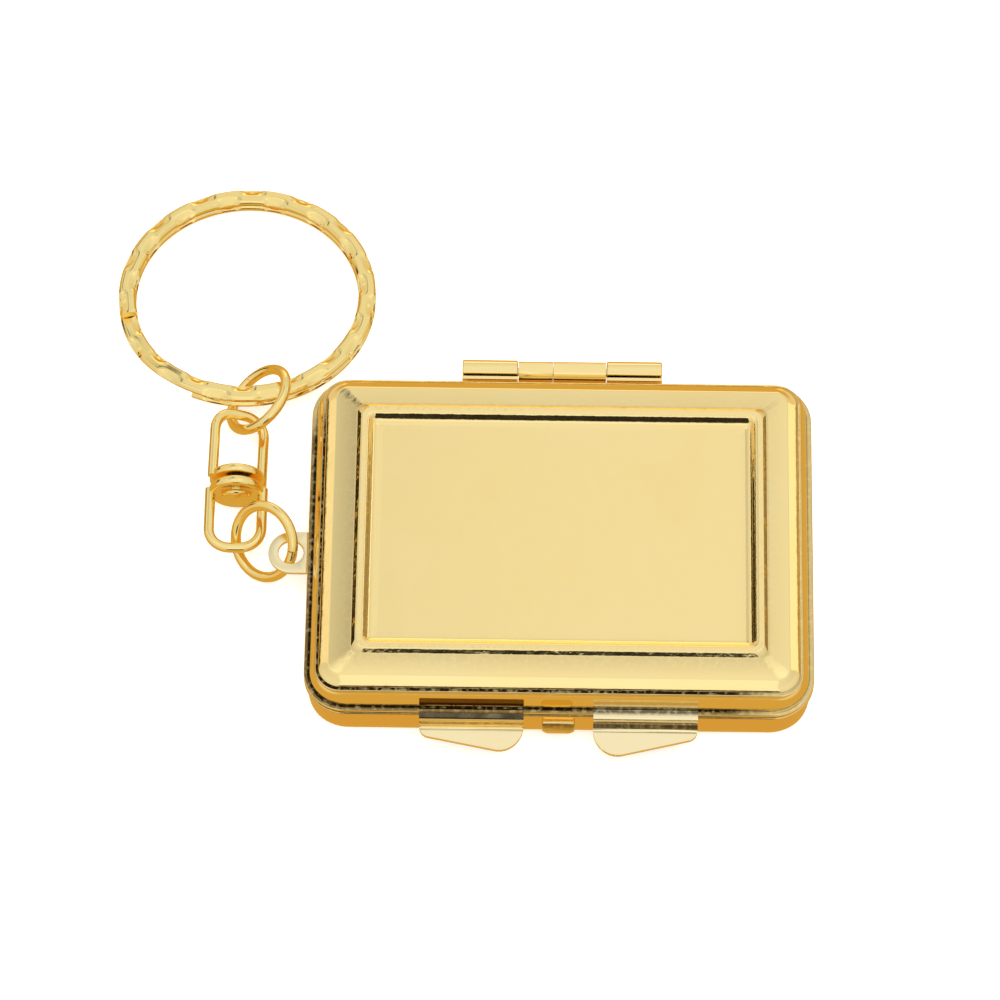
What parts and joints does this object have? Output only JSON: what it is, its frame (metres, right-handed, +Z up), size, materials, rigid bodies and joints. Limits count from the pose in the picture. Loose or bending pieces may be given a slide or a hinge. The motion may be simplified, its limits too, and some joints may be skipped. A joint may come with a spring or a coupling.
{
  "type": "pill_box",
  "caption": "Pocket pill box of stamped gold-plated metal, with a hinged lid, thumb tabs, a spring catch, a divided tray, a mirror and a swivel chain with a split ring.",
  "frame": {"origin": "middle of the box's underside, on the surface it stands on", "axes": "+X to the right seen from the front, the chain on the -X side; +Y from the front tabs to the hinge; +Z up through the lid"},
  "size_m": [0.0703, 0.065, 0.0091],
  "materials": {
    "gold_plating": "polished",
    "pale_gold_plating": "polished",
    "spring_steel": "brushed",
    "tray_plastic": "satin",
    "foam_pad": "matte",
    "mirror_glass": "mirror"
  },
  "bodies": {
    "base": {"base_shell": "gold_plating", "base_hinge_leaf": "gold_plating", "hinge_pin": "gold_plating", "base_thumb_tab": "gold_plating", "catch_nose": "gold_plating", "key_lug": "pale_gold_plating", "pill_tray": "tray_plastic", "tray_pad": "foam_pad"},
    "lid": {"lid_shell": "gold_plating", "lid_hinge_leaf": "gold_plating", "lid_thumb_tab": "gold_plating", "catch_spring": "spring_steel", "mirror": "mirror_glass", "mirror_pad": "foam_pad"},
    "lower_ring": {"lower_jump_ring": "gold_plating"},
    "lower_swivel": {"swivel_lower_eye": "gold_plating", "swivel_rivet": "gold_plating"},
    "upper_swivel": {"swivel_upper_eye": "gold_plating"},
    "upper_ring": {"upper_jump_ring": "gold_plating"},
    "key_ring": {"split_ring": "gold_plating"}
  },
  "joints": [
    {"name": "lid_hinge", "type": "hinge", "parent": "base", "child": "lid", "pos_m": [0, 0.0199, 0.00485], "axis": [-1, 0, 0], "range_deg": [0, 110]},
    {"name": "lug_ring_swing", "type": "hinge", "parent": "base", "child": "lower_ring", "pos_m": [-0.0267, -0.0007, 0.00424], "axis": [0, 1, 0], "range_deg": [-45, 5]},
    {"name": "swivel_swing", "type": "hinge", "parent": "lower_ring", "child": "lower_swivel", "pos_m": [-0.0304, 0.00126, 0.00275], "axis": [1, 0, 0], "range_deg": [-90, 0]},
    {"name": "swivel_spin", "type": "hinge", "parent": "lower_swivel", "child": "upper_swivel", "pos_m": [-0.03245, 0.00765, 0.00275], "axis": [0, 1, 0], "continuous": true},
    {"name": "upper_ring_swing", "type": "hinge", "parent": "upper_swivel", "child": "upper_ring", "pos_m": [-0.03184, 0.01564, 0.00252], "axis": [1, 0, 0], "range_deg": [-30, 0]},
    {"name": "key_ring_swing", "type": "hinge", "parent": "upper_ring", "child": "key_ring", "pos_m": [-0.03053, 0.01776, 0.00311], "axis": [1, 0, 0], "range_deg": [-50, 0]}
  ]
}
